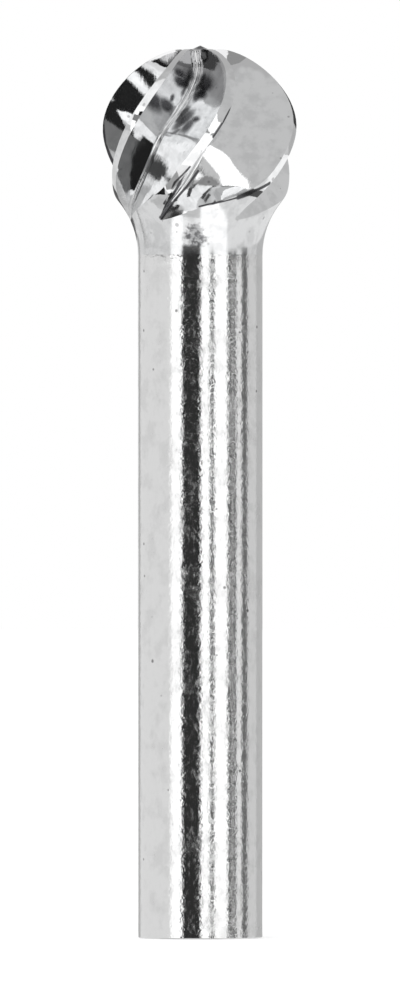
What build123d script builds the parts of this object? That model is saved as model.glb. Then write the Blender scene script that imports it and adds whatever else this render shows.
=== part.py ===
import os
from math import cos, radians, sin, sqrt, tan

from build123d import *

os.makedirs("parts", exist_ok=True)

# Overall sizes, in mm. The origin is the middle of the shank's flat end, with +Z towards the head.
overall_length = 43.0
head_length = 10.1
shank_diameter = 6.0
end_break = 0.06

# The blank of the head, with a small nib left at the middle of the nose.
head_diameter = 9.54
nose_height = 4.36
nib_diameter = 1.2
nib_depth = 0.27
crest_diameter = 1.9
crest_drop = 0.19
shoulder_diameter = 7.72
shoulder_drop = 3.25

# How far the tangents of the ball's curves reach: at the nose, at the waist and over the shoulder.
nose_pull = 2.24
waist_pull_up = 2.40
waist_pull_down = 1.17
shoulder_pull_out = 0.56
shoulder_pull_up = 0.66

# Six teeth stand at uneven spacing, so that the burr doesn't chatter. Turns are in degrees, and the
# helix turns slower towards the nose.
first_edge_turn = 9.3
gap_turns = (65.0, 58.0, 64.0, 62.5, 56.0, 54.5)
land_turn = 7.0
helix_turn = 40.5
helix_fade = 15.0
root_radius = 0.14

# The path of the grinding wheel: height over the middle of the ball and radius of the flute's root,
# both in head radii, and how far the wheel has swung out of the flute, from 0 to 1.
wheel_path = (
    (1.02, 0.05, 0.0),
    (0.70, 0.07, 0.0),
    (0.52, 0.14, 0.0),
    (0.34, 0.28, 0.0),
    (0.16, 0.44, 0.0),
    (0.00, 0.55, 0.0),
    (-0.17, 0.595, 0.0),
    (-0.34, 0.62, 0.01),
    (-0.50, 0.655, 0.13),
    (-0.60, 0.68, 0.37),
    (-0.69, 0.695, 0.64),
    (-0.77, 0.698, 0.86),
    (-0.84, 0.70, 1.0),
    (-0.92, 0.72, 1.0),
)
wheel_clearance = 2.9

shank_length = overall_length - head_length
head_radius = head_diameter / 2
shank_radius = shank_diameter / 2
nib_radius = nib_diameter / 2
crest_radius = crest_diameter / 2
shoulder_radius = shoulder_diameter / 2
ball_height = overall_length - nose_height
crest_height = overall_length - crest_drop
shoulder_height = ball_height - shoulder_drop
tail_depth = shoulder_drop / sqrt(1 - (shoulder_radius / head_radius) ** 2)
least_share = 0.44


def polar(radius, turn):
    """A point in a cross-section, where turn 0 looks along -Y and turns run anticlockwise."""
    return Vector(radius * sin(radians(turn)), -radius * cos(radians(turn)))


def ball_radius(height):
    """Radius of the ball at a height over its middle, kept large enough to aim the wheel at."""
    depth = nose_height if height > 0 else tail_depth
    share = 1 - (height / depth) ** 2
    return head_radius * sqrt(max(share, least_share**2))


def flute_outline(root_distance, turn, back):
    """One cross-section of a flute: radial rake face, rounded root, straight back, open outside."""
    root = polar(root_distance, turn)
    up_rake = polar(1, turn)
    up_back = (back - root).normalized()
    half_corner = radians(up_rake.get_angle(up_back) / 2)
    foot = root_radius / tan(half_corner)
    rise = root_radius / sin(half_corner) - root_radius
    outside = head_radius + wheel_clearance
    toward_axis = root.dot(up_back)
    reach = sqrt(toward_axis**2 - root_distance**2 + outside**2) - toward_axis
    with BuildLine() as outline:
        Line(polar(outside, turn), root + up_rake * foot)
        ThreePointArc(
            root + up_rake * foot,
            root + (up_rake + up_back).normalized() * rise,
            root + up_back * foot,
        )
        Polyline(root + up_back * foot, root + up_back * reach, polar(outside, turn))
    return outline.line


def flute(edge_turn, gap_turn):
    """The space that the wheel grinds away between two teeth, as one lofted solid."""
    back_turn = gap_turn - land_turn
    with BuildPart() as ground:
        for height_share, root_share, swing in wheel_path:
            turn = edge_turn + helix_turn * height_share - helix_fade * height_share**2
            height = height_share * head_radius
            root_distance = root_share * head_radius
            flush = ball_radius(height)
            clear = root_distance / cos(radians(back_turn))
            back = polar(flush + (clear - flush) * swing, turn + back_turn)
            with BuildSketch(Plane.XY.offset(ball_height + height)):
                add(flute_outline(root_distance, turn, back))
                make_face()
        loft()
    return ground.part


# Carbide head: the blank is revolved, then the six flutes are ground out of it.
flutes = [
    flute(first_edge_turn + sum(gap_turns[:tooth]), gap_turn)
    for tooth, gap_turn in enumerate(gap_turns)
]
with BuildPart() as carbide_head:
    with BuildSketch(Plane.XZ):
        with BuildLine():
            Polyline(
                (shank_radius, shank_length),
                (0, shank_length),
                (0, overall_length),
                (nib_radius, overall_length - nib_depth),
                (crest_radius, crest_height),
            )
            Bezier(
                (crest_radius, crest_height),
                (nose_pull, crest_height),
                (head_radius, ball_height + waist_pull_up),
                (head_radius, ball_height),
            )
            Bezier(
                (head_radius, ball_height),
                (head_radius, ball_height - waist_pull_down),
                (shoulder_radius + shoulder_pull_out, shoulder_height + shoulder_pull_up),
                (shoulder_radius, shoulder_height),
            )
            TangentArc(
                (shank_radius, shank_length),
                (shoulder_radius, shoulder_height),
                tangent=(0, 1),
            )
        make_face()
    revolve(axis=Axis.Z)
    add(flutes, clean=False, mode=Mode.SUBTRACT)
carbide_head.part.label = "carbide_head"
export_step(carbide_head.part, "parts/carbide_head.step")

# Steel shank: a plain ground rod, brazed flat to the head.
with BuildPart() as steel_shank:
    Cylinder(shank_radius, shank_length, align=(Align.CENTER, Align.CENTER, Align.MIN))
    chamfer(steel_shank.edges().group_by(Axis.Z)[0], end_break)
steel_shank.part.label = "steel_shank"
export_step(steel_shank.part, "parts/steel_shank.step")
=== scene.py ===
from math import cos, radians, sin, sqrt

import bpy
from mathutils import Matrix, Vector


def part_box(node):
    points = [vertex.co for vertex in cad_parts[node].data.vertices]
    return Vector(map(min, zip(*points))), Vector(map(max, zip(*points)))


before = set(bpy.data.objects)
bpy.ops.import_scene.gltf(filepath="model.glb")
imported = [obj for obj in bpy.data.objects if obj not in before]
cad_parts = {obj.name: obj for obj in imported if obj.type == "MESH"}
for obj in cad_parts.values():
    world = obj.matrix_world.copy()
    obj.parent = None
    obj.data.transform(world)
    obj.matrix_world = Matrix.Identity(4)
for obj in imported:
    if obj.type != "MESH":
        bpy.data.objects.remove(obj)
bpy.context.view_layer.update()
print("Loaded the packed burr:", sorted(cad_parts))

mm = 0.001

headLow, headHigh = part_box("carbide_head")
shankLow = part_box("steel_shank")[0]
ball = {
    "radius": (headHigh.x - headLow.x) / 2,
    "edgeRadius": -headLow.y,  # the front tooth's edge goes out this far
    "middle": 38.64 * mm,  # height of its equator
}


# Small helpers for node trees.

def addNode(tree, kind, label="", **settings):
    node = tree.nodes.new(kind)
    node.label = label
    for name, value in settings.items():
        setattr(node, name, value)
    return node


def wire(tree, source, target):
    tree.links.new(source, target)


def feed(tree, socket, value):
    # an output is wired; a number, a colour or a place is set
    if isinstance(value, bpy.types.NodeSocket):
        wire(tree, value, socket)
    elif value is not None:
        socket.default_value = value


def mathNode(tree, operation, first, second=None, third=None, clamp=False):
    node = addNode(tree, "ShaderNodeMath", operation=operation, use_clamp=clamp)
    for socket, value in zip(node.inputs, (first, second, third)):
        feed(tree, socket, value)
    return node.outputs[0]


def ramp(tree, value, low, high, toLow=0.0, toHigh=1.0):
    # a smooth step from low to high
    node = addNode(tree, "ShaderNodeMapRange", interpolation_type="SMOOTHSTEP")
    for name, number in zip(
        ("Value", "From Min", "From Max", "To Min", "To Max"), (value, low, high, toLow, toHigh)
    ):
        feed(tree, node.inputs[name], number)
    return node.outputs["Result"]


def blend(tree, share, first, second):
    # mixes two colours
    node = addNode(tree, "ShaderNodeMix", data_type="RGBA")
    feed(tree, node.inputs["Factor"], share)
    colors = [socket for socket in node.inputs if socket.type == "RGBA"]
    feed(tree, colors[0], first)
    feed(tree, colors[1], second)
    return [socket for socket in node.outputs if socket.type == "RGBA"][0]


def vectorNode(tree, operation, first, second=None):
    # gives all outputs, because some operations end in a vector and some in a value
    node = addNode(tree, "ShaderNodeVectorMath", operation=operation)
    for socket, value in zip(node.inputs, (first, second)):
        feed(tree, socket, value)
    return node.outputs


def stretch(tree, vector, factors):
    return vectorNode(tree, "MULTIPLY", vector, factors)["Vector"]


def noise(tree, vector, scale, detail=2.0, roughness=0.5):
    node = addNode(tree, "ShaderNodeTexNoise")
    feed(tree, node.inputs["Vector"], vector)
    feed(tree, node.inputs["Scale"], scale)
    feed(tree, node.inputs["Detail"], detail)
    feed(tree, node.inputs["Roughness"], roughness)
    return node.outputs["Fac"]


def newMaterial(name):
    material = bpy.data.materials.new(name)
    material.use_nodes = True
    tree = material.node_tree
    tree.nodes.clear()
    return material, tree


def newGroup(name, inputs, outputs):
    tree = bpy.data.node_groups.new(name, "ShaderNodeTree")
    for socketName, kind, start in inputs:
        socket = tree.interface.new_socket(
            name=socketName, in_out="INPUT", socket_type="NodeSocket" + kind
        )
        if start is not None:
            socket.default_value = start
    for socketName, kind in outputs:
        tree.interface.new_socket(
            name=socketName, in_out="OUTPUT", socket_type="NodeSocket" + kind
        )
    return tree, addNode(tree, "NodeGroupInput").outputs, addNode(tree, "NodeGroupOutput").inputs


def place(tree, group, **values):
    node = addNode(tree, "ShaderNodeGroup", label=group.name, node_tree=group)
    for name, value in values.items():
        feed(tree, node.inputs[name], value)
    return node.outputs


# The studio: a pale floor, a white room, a soft grey tent that only reflections see, and bent
# cards that give the bright metal something to reflect.

studio = {
    "floorSize": 4.0,
    "floorTint": 0.86,
    "floorLift": 0.3,
    "roomLevel": 0.92,
    "tentLevel": 0.62,
    "tentReach": 1600 * mm,
    "farReach": 1200 * mm,
    "middleReach": 60 * mm,
    "sideReach": 14 * mm,
    "nearReach": 8.2 * mm,
    "cardGap": 0.001,  # share of its reach by which each card stands behind the one before
    "cardStep": 3.0,  # degrees between the points of a bent card
    "centre": Vector((0, 0, 38.6 * mm)),  # the tent and the cards go round it
    "keySize": 0.9,
    "keyPower": 3.0,
    "keyPlace": Vector((-0.5, -0.7, 1.1)),
}


def box(fromTurn, toTurn, fromLift, toLift):
    # the rungs of a card with upright sides
    return [(fromTurn, fromLift, toTurn, fromLift), (fromTurn, toLift, toTurn, toLift)]


# Each card: how bright it is and its rungs from the bottom up. A rung is the turn and lift of its
# left end and of its right end, in degrees, as seen from the ball's middle; turn 0 is towards the
# camera and grows to the right. A card in front comes earlier in its list.
cards = {
    # small cards close to the head, which only its flutes and lands see
    "nearReach": {
        "strip": (
            1.4,
            [
                (8, 2, 16, 3),
                (6, 8, 18, 9),
                (5, 10, 17, 12.5),
                (4.5, 12, 15, 13.5),
                (2, 24, 15, 30),
                (0, 40, 15, 40),
                (0, 55, 17, 52),
                (2, 62, 19, 60),
            ],
        ),
        "rootGrey": (0.3, [(-8, 1, 2, 1), (-8, 8, 3, 8), (-8, 22, 1, 22)]),
        "landFront": (1.3, [(-16, -20, -6, -20), (-10, -11, 0, -11), (-5, -2, 6, -2), (-3, 2, 9, 2)]),
        "rakeBlack": (
            0.02,
            [(-62, -43, -38, -43), (-54, -30, -34, -30), (-47, -20, -32, -20), (-42, -8, -30, -8)],
        ),
        "backBlack": (0.08, [(-36, -43.5, -20, -43.5), (-20, -33, -10, -33)]),
        "rakeGrey": (
            0.2,
            [(-100, -43, -50, -43), (-80, -36, -50, -36), (-66, -26, -44, -26), (-60, -14, -40, -14)],
        ),
        "landGrey": (0.4, box(-34, -20, -38, -22)),
        "runOutWhite": (1.4, [(54, 10, 72, 10), (57, 26, 80, 26), (68, 40, 84, 40)]),
        "runOutBlack": (0.1, box(44, 76, -43, -36)),
        "landRight": (1.1, [(68, -34, 84, -34), (74, -22, 94, -22), (84, -10, 102, -10)]),
        "outlineLeft": (0.12, box(-152, -120, -38, 40)),
        "edgeRight": (0.06, [(118, 5, 150, 5), (108, 14, 150, 14), (108, 32, 150, 32)]),
    },
    # a little further out on the left, for the face of the tooth there
    "sideReach": {
        "leftBlack": (
            0.02,
            [(-79, -15, -50, -15), (-79, 0, -50, 0), (-71, 1, -50, 1), (-71, 16, -50, 16)],
        ),
        "leftCell": (0.02, box(-71, -50, 22, 26.4)),
        "leftGrey": (0.25, box(-76, -64.5, 16, 22)),
        "leftWhite": (1.5, box(-76, -50, -22, 31)),
    },
    # shades for the nose
    "middleReach": {
        "noseGrey": (0.4, box(3, 40, 0.5, 14)),
        "noseDark": (0.15, box(-34, 3, 0.5, 12)),
    },
    # the room's softboxes and flags, which the shank and neck see as upright bands
    "farReach": {
        "slatFront": (0.08, box(18, 26, -6.3, 3)),
        "slatMiddle": (0.1, box(53, 61.5, -6.3, 3)),
        "slatBeside": (0.1, box(63.5, 70.5, -6.3, 3)),
        "slatRight": (0.15, box(83.5, 98, -6.3, 5)),
        "endRight": (0.68, box(98, 128, -6.3, 6.3)),
        "farRight": (0.52, box(128, 180, -6.3, 6.3)),
        "edgeLeft": (0.45, box(-162, -148, -6.3, 6.3)),
        "flagFront": (0.03, box(-34, 1, -12, 6)),
        "neckFront": (1.0, box(-34, 1, -50, -12)),
        "softFront": (1.3, box(1, 17, -72, 10)),
        "softRight": (1.3, box(17, 52, -72, 10)),
        "softLeft": (1.3, box(-56, -34, -50, 10)),
        "wallLeft": (0.8, box(-180, -56, -50, 6.3)),
        "wallRight": (0.85, box(52, 180, -72, 6.3)),
        "landLeft": (1.1, box(-112, -80, 12, 62)),
    },
}


def stageMesh(name, corners, faces, material):
    mesh = bpy.data.meshes.new(name)
    mesh.from_pydata(corners, [], faces)
    mesh.materials.append(material)
    staged = bpy.data.objects.new(name, mesh)
    bpy.context.scene.collection.objects.link(staged)
    return staged


def glowMaterial(name, level):
    material, tree = newMaterial(name)
    glow = addNode(tree, "ShaderNodeEmission")
    glow.inputs["Color"].default_value = (1, 1, 1, 1)
    glow.inputs["Strength"].default_value = level
    out = addNode(tree, "ShaderNodeOutputMaterial")
    wire(tree, glow.outputs[0], out.inputs["Surface"])
    return material


def towards(turn, lift, reach):
    turn, lift = radians(turn), radians(lift)
    way = Vector((cos(lift) * sin(turn), -cos(lift) * cos(turn), sin(lift)))
    return studio["centre"] + way * reach


def between(start, end, share):
    return start + (end - start) * share


def rowsOf(rungs):
    # the rungs, with more set between them where they are far apart
    rows = []
    for lower, upper in zip(rungs, rungs[1:]):
        tall = max(abs(upper[1] - lower[1]), abs(upper[3] - lower[3]))
        parts = max(1, int(tall / studio["cardStep"]))
        for part in range(parts):
            rows.append([between(a, b, part / parts) for a, b in zip(lower, upper)])
    rows.append(rungs[-1])
    return rows


def bentCard(name, level, reach, rungs):
    # a patch of a sphere round the ball, seen by reflections alone
    rows = rowsOf(rungs)
    widest = max(abs(right - left) for left, _, right, _ in rungs)
    across = max(2, int(widest / studio["cardStep"]))
    corners, faces = [], []
    for leftTurn, leftLift, rightTurn, rightLift in rows:
        for column in range(across + 1):
            share = column / across
            turn = between(leftTurn, rightTurn, share)
            lift = between(leftLift, rightLift, share)
            corners.append(towards(turn, lift, reach))
    for row in range(len(rows) - 1):
        for column in range(across):
            first = row * (across + 1) + column
            faces.append((first, first + 1, first + across + 2, first + across + 1))
    card = stageMesh(name, corners, faces, glowMaterial(name, level))
    card.visible_camera = False
    card.visible_diffuse = False
    card.visible_shadow = False
    card.visible_transmission = False


def buildTent():
    rungs = [(-180, lift, 180, lift) for lift in (-90, -45, 0, 45, 90)]
    bentCard("softTent", studio["tentLevel"], studio["tentReach"], rungs)


def seenDirectly(tree):
    # 1 for the camera and for what it sees in metal or through glass
    path = addNode(tree, "ShaderNodeLightPath").outputs
    seen = mathNode(tree, "MAXIMUM", path["Is Camera Ray"], path["Is Glossy Ray"])
    return mathNode(tree, "MAXIMUM", seen, path["Is Transmission Ray"])


def buildFloor():
    half = studio["floorSize"] / 2
    material, tree = newMaterial("paleFloor")
    paint = addNode(tree, "ShaderNodeBsdfDiffuse")
    tint = studio["floorTint"]
    paint.inputs["Color"].default_value = (tint, tint, tint, 1)
    lift = addNode(tree, "ShaderNodeEmission")
    lift.inputs["Color"].default_value = (1, 1, 1, 1)
    glow = mathNode(tree, "MULTIPLY", seenDirectly(tree), studio["floorLift"])
    wire(tree, glow, lift.inputs["Strength"])
    both = addNode(tree, "ShaderNodeAddShader")
    wire(tree, paint.outputs[0], both.inputs[0])
    wire(tree, lift.outputs[0], both.inputs[1])
    out = addNode(tree, "ShaderNodeOutputMaterial")
    wire(tree, both.outputs[0], out.inputs["Surface"])
    corners = [(-half, -half, 0), (half, -half, 0), (half, half, 0), (-half, half, 0)]
    floor = stageMesh("floor", corners, [(0, 1, 2, 3)], material)
    floor.visible_glossy = False  # the tent goes on below it


def buildRoom():
    world = bpy.data.worlds.new("whiteRoom")
    world.use_nodes = True
    tree = world.node_tree
    tree.nodes.clear()
    level = addNode(tree, "ShaderNodeMix", data_type="FLOAT")
    level.inputs["A"].default_value = studio["roomLevel"]
    level.inputs["B"].default_value = 1.0
    wire(tree, seenDirectly(tree), level.inputs["Factor"])
    sky = addNode(tree, "ShaderNodeBackground")
    sky.inputs["Color"].default_value = (1, 1, 1, 1)
    wire(tree, level.outputs["Result"], sky.inputs["Strength"])
    out = addNode(tree, "ShaderNodeOutputWorld")
    wire(tree, sky.outputs[0], out.inputs["Surface"])
    bpy.context.scene.world = world


def addKeyLight():
    lamp = bpy.data.lights.new("softKey", "AREA")
    lamp.size = studio["keySize"]
    lamp.energy = studio["keyPower"]
    key = bpy.data.objects.new("softKey", lamp)
    key.location = studio["keyPlace"]
    key.rotation_euler = (studio["centre"] - key.location).to_track_quat("-Z", "Y").to_euler()
    key.visible_glossy = False
    bpy.context.scene.collection.objects.link(key)


def hangCards():
    for reach, group in cards.items():
        for order, (name, (level, rungs)) in enumerate(group.items()):
            bentCard(name, level, studio[reach] * (1 + order * studio["cardGap"]), rungs)


buildFloor()
buildRoom()
buildTent()
addKeyLight()
hangCards()
print("Studio built, with", sum(len(group) for group in cards.values()), "cards")


# The camera looks level at the burr from far off, through a long lens.

camera = {
    "imageWidth": 400,
    "imageHeight": 983,
    "nosePixel": 45.5,  # row of the nose, from the top
    "endPixel": 938.0,  # row of the shank's flat end
    "axisPixel": 200.2,  # column of the burr's axis
    "filmHeight": 24.0,
    "distance": 0.9,
    "nearest": 0.01,
    "farthest": 20.0,
}


def addCamera():
    pixel = (headHigh.z - shankLow.z) / (camera["endPixel"] - camera["nosePixel"])
    viewHeight = pixel * camera["imageHeight"]
    lens = bpy.data.cameras.new("longLens")
    lens.sensor_fit = "VERTICAL"
    lens.sensor_height = camera["filmHeight"]
    lens.lens = camera["filmHeight"] * camera["distance"] / viewHeight
    lens.clip_start = camera["nearest"]
    lens.clip_end = camera["farthest"]
    view = bpy.data.objects.new("longLens", lens)
    view.location = (
        pixel * (camera["imageWidth"] / 2 - camera["axisPixel"]),
        -camera["distance"],
        pixel * (camera["endPixel"] - camera["imageHeight"] / 2),
    )
    view.rotation_euler = (radians(90), 0, 0)
    bpy.context.scene.collection.objects.link(view)
    bpy.context.scene.camera = view


addCamera()
print("Camera placed")


# What ground metal has in common: a rippled surface, cloudy patches and small pits.

def groundRipple():
    # height: soft waves plus fine lines left by the grinding wheel
    tree, given, result = newGroup(
        "groundRipple",
        [
            ("Wave Vector", "Vector", None),
            ("Wave Scale", "Float", 2000.0),
            ("Line Vector", "Vector", None),
            ("Line Scale", "Float", 1.0),
            ("Line Share", "Float", 0.2),
        ],
        [("Height", "Float")],
    )
    waves = noise(tree, given["Wave Vector"], given["Wave Scale"], 3.0, 0.55)
    lines = noise(tree, given["Line Vector"], given["Line Scale"], 2.0, 0.6)
    lines = mathNode(tree, "MULTIPLY", lines, given["Line Share"])
    wire(tree, mathNode(tree, "ADD", waves, lines), result["Height"])
    return tree


def cloudyPatches():
    # mask: soft-edged patches; Cover is the share of the surface they take
    tree, given, result = newGroup(
        "cloudyPatches",
        [
            ("Vector", "Vector", None),
            ("Scale", "Float", 600.0),
            ("Cover", "Float", 0.4),
            ("Softness", "Float", 0.12),
        ],
        [("Mask", "Float")],
    )
    cloud = noise(tree, given["Vector"], given["Scale"], 3.0, 0.6)
    # the noise keeps mostly between 0.3 and 0.7
    edge = mathNode(tree, "MULTIPLY_ADD", given["Cover"], -0.4, 0.7)
    low = mathNode(tree, "SUBTRACT", edge, given["Softness"])
    high = mathNode(tree, "ADD", edge, given["Softness"])
    wire(tree, ramp(tree, cloud, low, high), result["Mask"])
    return tree


def smallPits():
    # mask: round spots in some cells only; Share is how many cells have one
    tree, given, result = newGroup(
        "smallPits",
        [
            ("Vector", "Vector", None),
            ("Scale", "Float", 3000.0),
            ("Size", "Float", 0.3),
            ("Share", "Float", 0.2),
        ],
        [("Mask", "Float")],
    )
    cells = addNode(tree, "ShaderNodeTexVoronoi")
    wire(tree, given["Vector"], cells.inputs["Vector"])
    wire(tree, given["Scale"], cells.inputs["Scale"])
    picked = addNode(tree, "ShaderNodeSeparateColor")
    wire(tree, cells.outputs["Color"], picked.inputs[0])
    chosen = mathNode(tree, "LESS_THAN", picked.outputs[0], given["Share"])
    size = mathNode(tree, "MULTIPLY", given["Size"], mathNode(tree, "ADD", picked.outputs[1], 0.4))
    inner = mathNode(tree, "MULTIPLY", size, 0.5)
    spot = ramp(tree, cells.outputs["Distance"], inner, size, 1.0, 0.0)
    wire(tree, mathNode(tree, "MULTIPLY", spot, chosen), result["Mask"])
    return tree


ripple = groundRipple()
patches = cloudyPatches()
pits = smallPits()


def groundSkin(tree, spot, lineVector, look):
    # the height, colour and roughness that both metals start from
    height = place(tree, ripple, **{
        "Wave Vector": spot,
        "Wave Scale": look["waveScale"],
        "Line Vector": lineVector,
        "Line Scale": look["lineScale"],
        "Line Share": look["lineShare"],
    })["Height"]
    cloud = place(
        tree, patches, Vector=spot, Scale=look["cloudScale"], Cover=look["cloudCover"]
    )["Mask"]
    holes = place(
        tree, pits, Vector=spot, Scale=look["pitScale"], Size=look["pitSize"], Share=look["pitShare"]
    )["Mask"]
    color = blend(tree, cloud, look["color"], look["cloudColor"])
    color = blend(tree, holes, color, look["pitColor"])
    rough = mathNode(tree, "MULTIPLY_ADD", cloud, look["cloudRoughness"], look["roughness"])
    return height, color, rough


def finishMetal(tree, look, color, roughness, height):
    bump = addNode(tree, "ShaderNodeBump")
    bump.inputs["Strength"].default_value = 1.0
    bump.inputs["Distance"].default_value = look["rippleHeight"]
    wire(tree, height, bump.inputs["Height"])
    shader = addNode(tree, "ShaderNodeBsdfPrincipled")
    wire(tree, color, shader.inputs["Base Color"])
    shader.inputs["Metallic"].default_value = 1.0
    wire(tree, roughness, shader.inputs["Roughness"])
    wire(tree, bump.outputs[0], shader.inputs["Normal"])
    out = addNode(tree, "ShaderNodeOutputMaterial")
    wire(tree, shader.outputs[0], out.inputs["Surface"])


# Dark marks: each is a soft spot or a soft line, with a rim that noise breaks up. The lines and most
# spots are painted shade and painted reflections; the spots also make the real heat stain on the
# neck.

def stainAndShadeSpot():
    # mask: one round spot; Ragged is added to the distance, counted in sizes
    tree, given, result = newGroup(
        "stainAndShadeSpot",
        [
            ("Vector", "Vector", None),
            ("Ragged", "Float", 0.0),
            ("Centre", "Vector", None),
            ("Size", "Float", 0.5 * mm),
        ],
        [("Mask", "Float")],
    )
    away = vectorNode(tree, "DISTANCE", given["Vector"], given["Centre"])["Value"]
    share = mathNode(tree, "DIVIDE", away, given["Size"])
    share = mathNode(tree, "ADD", share, given["Ragged"])
    wire(tree, ramp(tree, share, 0.35, 1.15, 1.0, 0.0), result["Mask"])
    return tree


def paintedShadeLine():
    # mask: one line of painted shade from Start to End, about twice the Size across
    tree, given, result = newGroup(
        "paintedShadeLine",
        [
            ("Vector", "Vector", None),
            ("Ragged", "Float", 0.0),
            ("Start", "Vector", None),
            ("End", "Vector", None),
            ("Size", "Float", 0.1 * mm),
        ],
        [("Mask", "Float")],
    )
    along = vectorNode(tree, "SUBTRACT", given["End"], given["Start"])["Vector"]
    away = vectorNode(tree, "SUBTRACT", given["Vector"], given["Start"])["Vector"]
    reached = vectorNode(tree, "DOT_PRODUCT", away, along)["Value"]
    whole = vectorNode(tree, "DOT_PRODUCT", along, along)["Value"]
    share = mathNode(tree, "DIVIDE", reached, whole, clamp=True)
    nearest = vectorNode(tree, "MULTIPLY", along, share)["Vector"]
    gap = vectorNode(tree, "DISTANCE", away, nearest)["Value"]
    gap = mathNode(tree, "DIVIDE", gap, given["Size"])
    gap = mathNode(tree, "ADD", gap, given["Ragged"])
    wire(tree, ramp(tree, gap, 0.5, 1.1, 1.0, 0.0), result["Mask"])
    return tree


roundMark = stainAndShadeSpot()
longMark = paintedShadeLine()


def raggedRim(tree, vector, ragged, scale):
    cloud = noise(tree, vector, scale, 3.0, 0.6)
    return mathNode(tree, "MULTIPLY_ADD", cloud, 2 * ragged, -ragged)


def inMetres(point):
    return [part * mm for part in point]


def darkest(tree, masks):
    mask = masks[0]
    for other in masks[1:]:
        mask = mathNode(tree, "MAXIMUM", mask, other)
    return mask


def spotMask(tree, vector, rim, spots):
    masks = []
    for centre, size in spots:
        mark = place(
            tree, roundMark, Vector=vector, Ragged=rim, Centre=inMetres(centre), Size=size * mm
        )
        masks.append(mark["Mask"])
    return darkest(tree, masks)


def lineMask(tree, vector, rim, lines):
    masks = []
    for points, size in lines:
        for start, end in zip(points, points[1:]):
            ends = {"Start": inMetres(start), "End": inMetres(end)}
            mark = place(tree, longMark, Vector=vector, Ragged=rim, Size=size * mm, **ends)
            masks.append(mark["Mask"])
    return darkest(tree, masks)


# The head: ground flutes on a ball, on a neck that is a little duller.

headLook = {
    "color": (0.83, 0.835, 0.84, 1),
    "cloudColor": (0.72, 0.725, 0.73, 1),
    "pitColor": (0.5, 0.5, 0.505, 1),
    # painted shade: the darker colour over the nose
    "noseShadeColor": (0.67, 0.67, 0.675, 1),
    # painted shade: the colour of the dark marks that stand in for dark reflections and shade in the
    # flutes
    "paintedShadeColor": (0.1, 0.1, 0.105, 1),
    "stainColor": (0.16, 0.16, 0.165, 1),
    "roughness": 0.035,
    "cloudRoughness": 0.03,
    # extra roughness on the painted shade marks
    "paintedShadeRoughness": 0.2,
    "neckRoughness": 0.09,
    "rippleHeight": 3e-6,
    "waveScale": 1500.0,
    "lineScale": 60.0,
    "lineShare": 0.25,
    "linesOut": 300.0,  # how fast the wheel lines change away from the axis
    "linesUp": 12.0,  # and along the flute
    "cloudScale": 1300.0,
    "cloudCover": 0.42,
    "pitScale": 2600.0,
    "pitSize": 0.26,
    "pitShare": 0.08,
    "neckTop": 35.3 * mm,
    "neckFade": 0.3 * mm,
    "noseStart": 41.3 * mm,  # the ball's colour is painted darker above about this height, a painted shade for the darker reflections round the nose
    "noseWander": 2.4 * mm,  # how far that height goes up and down
    "noseScale": 700.0,
    "noseFade": 0.35 * mm,
    "lean": radians(40.5),  # an edge's turn over one radius of height, at the equator
    "leanBend": radians(15),  # how much less it turns towards the nose
    "repeat": radians(120),  # the painted reflection spots come back in every other flute
    "repeatStart": radians(-90),
    # Painted shade and painted reflections, drawn as dark marks, with places and sizes in
    # millimetres.
    # A line is given by its points, or by the turn of a tooth's edge and heights over the middle of
    # the ball.
    # Painted reflection: dark spots round the nose and in the flute left of the front tooth, standing
    # in for the dark reflections there:
    "paintedReflectionSpots": [
        ((0.0, -0.1, 42.95), 0.5),
        ((-0.40, -1.00, 41.55), 0.50),
        ((-0.58, -1.20, 41.15), 0.38),
        ((-0.02, -1.17, 41.02), 0.40),
        ((0.16, -1.14, 41.40), 0.34),
        ((-1.32, -2.15, 40.42), 0.26),
        ((-0.78, -1.95, 39.75), 0.46),
        ((-0.60, -2.50, 39.45), 0.66),
        ((-0.50, -3.10, 39.00), 0.62),
    ],
    "spotRagged": 0.25,
    "spotScale": 2200.0,
    # Painted shade: dark lines where the widest flute ends on the shoulder and its surface turns
    # down:
    "runOutLines": [
        (((3.32, -2.83, 36.31), (2.47, -3.36, 35.89)), 0.11),
        (((2.47, -3.36, 35.89), (1.85, -3.59, 35.64)), 0.17),
        (((1.85, -3.59, 35.64), (0.80, -3.76, 35.37), (-0.04, -3.60, 35.19)), 0.07),
    ],
    # Painted reflection: dark lines on the front tooth, along its root and along the lower end of its
    # edge:
    "toothLines": [
        (((-0.10, -2.94, 36.90), (-0.62, -3.03, 36.18), (-1.36, -3.07, 35.34)), 0.08),
        (((-1.36, -3.07, 35.34), (-1.87, -2.80, 34.68)), 0.13),
        (((-0.49, -4.55, 37.06), (-1.21, -4.19, 36.34), (-1.74, -3.39, 35.32)), 0.07),
    ],
    # Painted shade: dark lines along the upper edge of the front tooth, then along the edge of the
    # tooth at the left:
    "edgeLines": [
        (9.3, (-0.12, 0.46), 0.13),
        (9.3, (0.46, 1.36), 0.08),
        (-101.2, (-2.4, -1.4, -0.4), 0.12),
        (-101.2, (-0.4, 0.7, 1.7, 2.6), 0.09),
    ],
    "darkRagged": 0.3,
    "darkScale": 2600.0,
    # A mottled heat stain on the front of the neck:
    "stainSpots": [
        ((-0.25, -3.12, 34.00), 0.46),
        ((-0.42, -3.10, 33.65), 0.42),
        ((-0.05, -3.12, 33.60), 0.40),
    ],
    "stainRagged": 1.1,
    "stainScale": 4200.0,
    "mottleScale": 3600.0,
    "mottleRange": (0.4, 0.58),  # of the noise
    "mottleLeast": 0.45,
}


def edgePoints(look, edgeTurn, heights):
    # along a tooth's edge, in millimetres
    points = []
    for height in heights:
        share = height * mm / ball["edgeRadius"]
        turn = radians(edgeTurn) + look["lean"] * share - look["leanBend"] * share**2
        radius = sqrt(1 - share**2) * ball["edgeRadius"] / mm
        points.append((radius * sin(turn), -radius * cos(turn), ball["middle"] / mm + height))
    return points


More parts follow.
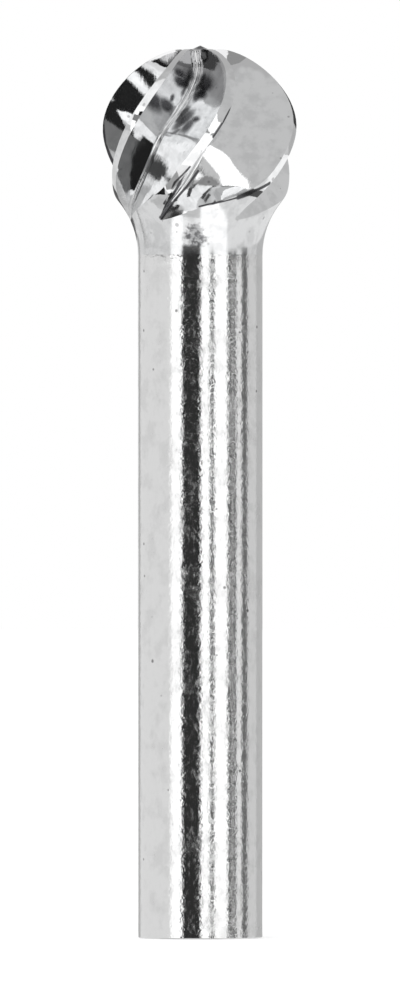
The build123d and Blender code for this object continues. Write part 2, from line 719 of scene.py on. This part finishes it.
def wheelLines(tree, turn, radius, z, look):
    # a place that changes quickly across a flute and slowly along it
    height = mathNode(tree, "SUBTRACT", z, ball["middle"])
    share = mathNode(tree, "DIVIDE", height, ball["radius"])
    lean = mathNode(tree, "MULTIPLY", share, look["lean"])
    bend = mathNode(tree, "MULTIPLY", mathNode(tree, "MULTIPLY", share, share), look["leanBend"])
    helix = mathNode(tree, "ADD", mathNode(tree, "SUBTRACT", turn, lean), bend)
    across = addNode(tree, "ShaderNodeCombineXYZ")
    wire(tree, helix, across.inputs["X"])
    wire(tree, mathNode(tree, "MULTIPLY", radius, look["linesOut"]), across.inputs["Y"])
    wire(tree, mathNode(tree, "MULTIPLY", height, look["linesUp"]), across.inputs["Z"])
    return across.outputs[0]


def foldedPlace(tree, turn, radius, z, look):
    # the same place in the flutes that the painted reflection spots are given for
    turn = mathNode(tree, "SUBTRACT", turn, look["repeatStart"])
    turn = mathNode(tree, "FLOORED_MODULO", turn, look["repeat"])
    turn = mathNode(tree, "ADD", turn, look["repeatStart"])
    folded = addNode(tree, "ShaderNodeCombineXYZ")
    side = mathNode(tree, "MULTIPLY", radius, mathNode(tree, "SINE", turn))
    front = mathNode(tree, "MULTIPLY", radius, mathNode(tree, "COSINE", turn))
    wire(tree, side, folded.inputs["X"])
    wire(tree, mathNode(tree, "MULTIPLY", front, -1.0), folded.inputs["Y"])
    wire(tree, z, folded.inputs["Z"])
    return folded.outputs[0]


# Painted shade: the colour over the nose turns darker, standing in for its darker reflections.
def paintedNoseShade(tree, spot, z, look):
    cloud = noise(tree, spot, look["noseScale"], 3.0)
    wander = mathNode(tree, "MULTIPLY_ADD", cloud, look["noseWander"], z)
    start = look["noseStart"] + look["noseWander"] / 2
    return ramp(tree, wander, start, start + look["noseFade"])


# Painted shade and painted reflections: the mask of dark spots and lines in the flutes and on the
# edges.
def paintedShadeMask(tree, spot, folded, look):
    rim = raggedRim(tree, folded, look["spotRagged"], look["spotScale"])
    spots = spotMask(tree, folded, rim, look["paintedReflectionSpots"])
    edges = [(edgePoints(look, turn, heights), size) for turn, heights, size in look["edgeLines"]]
    rim = raggedRim(tree, spot, look["darkRagged"], look["darkScale"])
    lines = lineMask(tree, spot, rim, look["runOutLines"] + look["toothLines"] + edges)
    return darkest(tree, [spots, lines])


def stainMask(tree, spot, look):
    rim = raggedRim(tree, spot, look["stainRagged"], look["stainScale"])
    stain = spotMask(tree, spot, rim, look["stainSpots"])
    low, high = look["mottleRange"]
    mottle = ramp(tree, noise(tree, spot, look["mottleScale"]), low, high, look["mottleLeast"], 1.0)
    return mathNode(tree, "MULTIPLY", stain, mottle)


def headMaterial():
    look = headLook
    material, tree = newMaterial("groundCarbide")
    spot = addNode(tree, "ShaderNodeTexCoord").outputs["Object"]
    axes = addNode(tree, "ShaderNodeSeparateXYZ")
    wire(tree, spot, axes.inputs[0])
    x, y, z = axes.outputs
    turn = mathNode(tree, "ARCTAN2", x, mathNode(tree, "MULTIPLY", y, -1.0))
    radius = mathNode(tree, "ADD", mathNode(tree, "MULTIPLY", x, x), mathNode(tree, "MULTIPLY", y, y))
    radius = mathNode(tree, "SQRT", radius)
    lines = wheelLines(tree, turn, radius, z, look)
    height, color, rough = groundSkin(tree, spot, lines, look)
    neck = ramp(tree, z, look["neckTop"] - look["neckFade"], look["neckTop"], 1.0, 0.0)
    paintedMarks = paintedShadeMask(tree, spot, foldedPlace(tree, turn, radius, z, look), look)
    # painted shade over the nose
    color = blend(tree, paintedNoseShade(tree, spot, z, look), color, look["noseShadeColor"])
    # painted shade and painted reflections: the dark marks
    color = blend(tree, paintedMarks, color, look["paintedShadeColor"])
    color = blend(tree, stainMask(tree, spot, look), color, look["stainColor"])
    rough = mathNode(tree, "MULTIPLY_ADD", paintedMarks, look["paintedShadeRoughness"], rough)
    rough = mathNode(tree, "MULTIPLY_ADD", neck, look["neckRoughness"], rough)
    finishMetal(tree, look, color, rough, height)
    return material


# The steel shank: centreless ground, so its shine is broken up by fine ripples and frosted specks.

shankLook = {
    "color": (0.84, 0.84, 0.84, 1),
    "cloudColor": (0.77, 0.77, 0.77, 1),
    "pitColor": (0.3, 0.3, 0.3, 1),
    "roughness": 0.065,
    "cloudRoughness": 0.09,
    "frostRoughness": 0.16,
    "frostScale": 6500.0,
    "frostStretch": (1.0, 1.0, 0.45),  # the specks are longer along the rod
    "frostRange": (0.44, 0.78),  # of the noise
    "rippleHeight": 1.1e-5,
    "waveScale": 5000.0,
    "lineScale": 1.0,
    "lineShare": 0.05,
    "ringStretch": (400.0, 400.0, 9000.0),  # the fine lines go round the rod
    "cloudScale": 900.0,
    "cloudCover": 0.35,
    "pitScale": 2600.0,
    "pitSize": 0.22,
    "pitShare": 0.06,
}


def shankMaterial():
    look = shankLook
    material, tree = newMaterial("groundSteel")
    spot = addNode(tree, "ShaderNodeTexCoord").outputs["Object"]
    rings = stretch(tree, spot, look["ringStretch"])
    height, color, rough = groundSkin(tree, spot, rings, look)
    grain = noise(tree, stretch(tree, spot, look["frostStretch"]), look["frostScale"])
    frost = ramp(tree, grain, *look["frostRange"])
    rough = mathNode(tree, "MULTIPLY_ADD", frost, look["frostRoughness"], rough)
    finishMetal(tree, look, color, rough, height)
    return material


def dress(node, material):
    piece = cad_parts[node]
    piece.data.materials.clear()
    piece.data.materials.append(material)


dress("carbide_head", headMaterial())
dress("steel_shank", shankMaterial())
print("Materials on")

scene = bpy.context.scene
scene.view_settings.view_transform = "Standard"
